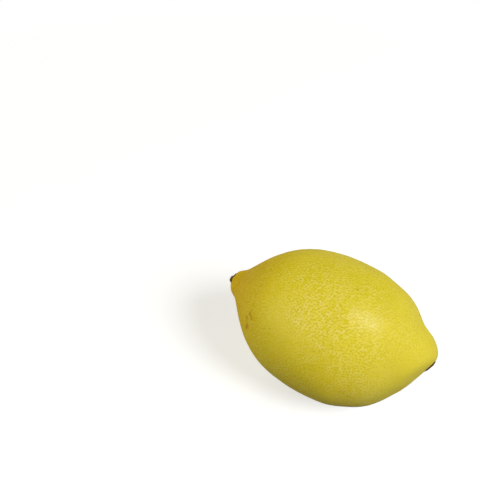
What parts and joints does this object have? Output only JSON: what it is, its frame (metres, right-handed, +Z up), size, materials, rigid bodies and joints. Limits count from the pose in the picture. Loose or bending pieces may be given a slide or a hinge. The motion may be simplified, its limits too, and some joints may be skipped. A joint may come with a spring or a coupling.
{
  "type": "lemon",
  "caption": "Whole ripe yellow lemon lying on its side, with a pointed stem end, its dry calyx button, and a blunt nipple with a slanting dried scar.",
  "frame": {"origin": "on the surface that the fruit rests on, under the middle of its bounding box", "axes": "+X along the fruit's long axis towards the nipple end, -X towards the stem end, +Z up"},
  "size_m": [0.0954, 0.0612, 0.0603],
  "materials": {
    "rind": "waxy dimpled yellow rind with fine oil glands, soft gloss",
    "stem_button": "dry matte woody calyx, grey-green lobes over dark brown",
    "style_scar": "dry matte dark brown scar"
  },
  "bodies": {
    "root": {"lemon": "rind", "stem_button": "stem_button", "style_scar": "style_scar"}
  },
  "joints": []
}
